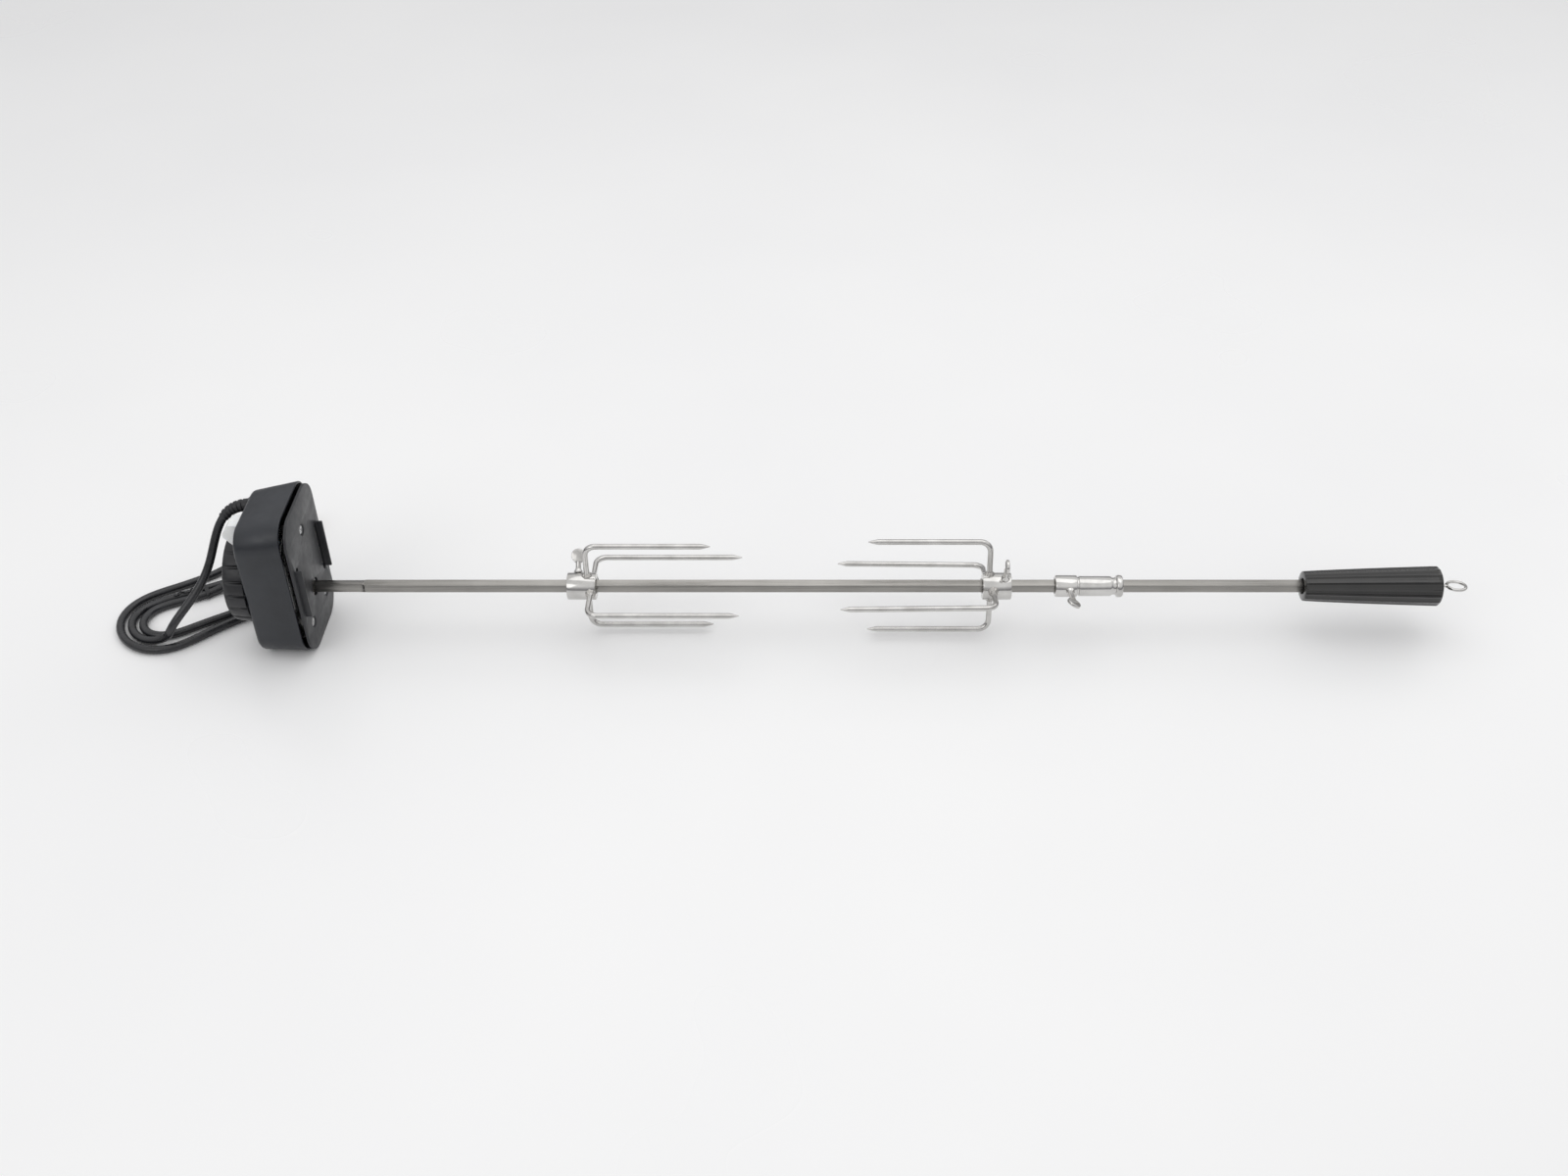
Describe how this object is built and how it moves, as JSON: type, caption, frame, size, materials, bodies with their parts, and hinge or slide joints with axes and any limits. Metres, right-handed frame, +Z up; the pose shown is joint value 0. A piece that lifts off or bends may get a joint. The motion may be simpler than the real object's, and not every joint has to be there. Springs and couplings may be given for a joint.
{
  "type": "grill rotisserie spit kit",
  "caption": "Grill rotisserie kit: geared motor unit with mains cord, hexagonal spit, clamping meat forks, sleeve and fluted grip handle with hanging eye.",
  "frame": {"origin": "on the surface the kit stands on, under the middle of its box without the cord", "axes": "+X along the spit from the motor to the handle, -Y to the front, +Z up"},
  "size_m": [1.0736, 0.1867, 0.1258],
  "materials": {
    "black_steel": "dark grey powder coat",
    "satin_black": "satin blue-black coat",
    "cover_black": "satin moulded plastic",
    "gloss_black": "glossy moulded phenolic",
    "rubber": "black cord jacket and mouldings",
    "boot": "milky clear silicone",
    "stainless": "drawn and brushed",
    "chrome": "bright plated",
    "zinc": "zinc plated",
    "brass": "machined",
    "magnet": "sintered ferrite",
    "winding": "enamelled copper winding",
    "nylon": "moulded acetal"
  },
  "bodies": {
    "motor_unit": {"mounting_plate": "black_steel", "plate_screw_1": "zinc", "plate_screw_2": "zinc", "plate_screw_3": "zinc", "plate_spacer_1": "zinc", "plate_spacer_2": "zinc", "plate_spacer_3": "zinc", "housing_shell": "satin_black", "shell_screw_1": "zinc", "shell_screw_2": "zinc", "shell_post_1": "zinc", "shell_post_2": "zinc", "motor_cover": "cover_black", "gearbox_front_frame": "zinc", "gearbox_rear_frame": "zinc", "gearbox_pillar_1": "zinc", "gearbox_pillar_2": "zinc", "gearbox_pillar_3": "zinc", "output_bushing": "brass", "gear_arbor_1": "stainless", "gear_arbor_2": "stainless", "stator_cup": "zinc", "stator_end_plate": "zinc", "stator_coil": "winding", "switch_body": "gloss_black", "switch_boot": "boot", "cord_gland": "rubber", "cord_lead": "rubber", "cord_hank": "rubber", "twist_tie": "rubber", "plug_strain_relief": "rubber", "plug_body": "rubber", "plug_blade_1": "brass", "plug_blade_2": "brass", "plug_earth_pin": "brass"},
    "output_drive": {"output_shaft": "stainless", "output_gear": "nylon"},
    "gear_2": {"reduction_gear_2": "nylon"},
    "gear_1": {"reduction_gear_1": "nylon"},
    "rotor": {"rotor_shaft": "stainless", "rotor_magnet": "magnet"},
    "rocker": {"switch_rocker": "gloss_black"},
    "spit": {"spit_rod": "stainless"},
    "fork_left": {"fork_collar_left": "chrome", "prong_left_front": "chrome", "prong_left_top": "chrome", "prong_left_back": "chrome", "prong_left_low": "chrome"},
    "fork_right": {"fork_collar_right": "chrome", "prong_right_front": "chrome", "prong_right_top": "chrome", "prong_right_back": "chrome", "prong_right_low": "chrome"},
    "sleeve": {"spit_sleeve": "chrome"},
    "handle": {"handle_grip": "gloss_black", "hanging_eye": "chrome"},
    "clamp_screw_left": {"thumb_screw_left": "chrome"},
    "clamp_screw_right": {"thumb_screw_right": "chrome"},
    "clamp_screw_sleeve": {"thumb_screw_sleeve": "chrome"}
  },
  "joints": [
    {"name": "spit_drive", "type": "hinge", "parent": "motor_unit", "child": "output_drive", "pos_m": [-0.443, 0, 0.044], "axis": [1, 0, 0], "continuous": true},
    {"name": "gear_2_spin", "type": "hinge", "parent": "motor_unit", "child": "gear_2", "pos_m": [-0.443, 0.018, 0.0575], "axis": [1, 0, 0], "continuous": true},
    {"name": "gear_1_spin", "type": "hinge", "parent": "motor_unit", "child": "gear_1", "pos_m": [-0.443, 0.00693, 0.06973], "axis": [1, 0, 0], "continuous": true},
    {"name": "rotor_spin", "type": "hinge", "parent": "motor_unit", "child": "rotor", "pos_m": [-0.443, 0, 0.057], "axis": [1, 0, 0], "continuous": true},
    {"name": "switch_toggle", "type": "hinge", "parent": "motor_unit", "child": "rocker", "pos_m": [-0.468, -0.0095, 0.1051], "axis": [0, -1, 0], "range_deg": [0, 16]},
    {"name": "spit_pull", "type": "slide", "parent": "output_drive", "child": "spit", "axis": [1, 0, 0], "range_m": [0, 0.03]},
    {"name": "fork_left_slide", "type": "slide", "parent": "spit", "child": "fork_left", "axis": [1, 0, 0], "range_m": [-0.155, 0.035]},
    {"name": "fork_right_slide", "type": "slide", "parent": "spit", "child": "fork_right", "axis": [1, 0, 0], "range_m": [-0.035, 0.015]},
    {"name": "sleeve_slide", "type": "slide", "parent": "spit", "child": "sleeve", "axis": [1, 0, 0], "range_m": [-0.015, 0.13]},
    {"name": "handle_unscrew", "type": "hinge", "parent": "spit", "child": "handle", "pos_m": [0.352, 0, 0.044], "axis": [1, 0, 0], "range_deg": [0, 720]},
    {"name": "left_screw_turn", "type": "hinge", "parent": "fork_left", "child": "clamp_screw_left", "pos_m": [-0.2166, 0, 0.044], "axis": [0, 0.6626, 0.749], "range_deg": [0, 720]},
    {"name": "right_screw_turn", "type": "hinge", "parent": "fork_right", "child": "clamp_screw_right", "pos_m": [0.118, 0, 0.044], "axis": [0, -0.3173, 0.9483], "range_deg": [0, 720]},
    {"name": "sleeve_screw_turn", "type": "hinge", "parent": "sleeve", "child": "clamp_screw_sleeve", "pos_m": [0.1688, 0, 0.044], "axis": [0, -0.9799, 0.1994], "range_deg": [0, 720]}
  ],
  "couplings": [
    {"joint": "gear_2_spin", "follows": "spit_drive", "ratio": -4},
    {"joint": "gear_1_spin", "follows": "spit_drive", "ratio": 18},
    {"joint": "rotor_spin", "follows": "spit_drive", "ratio": -86.4}
  ]
}
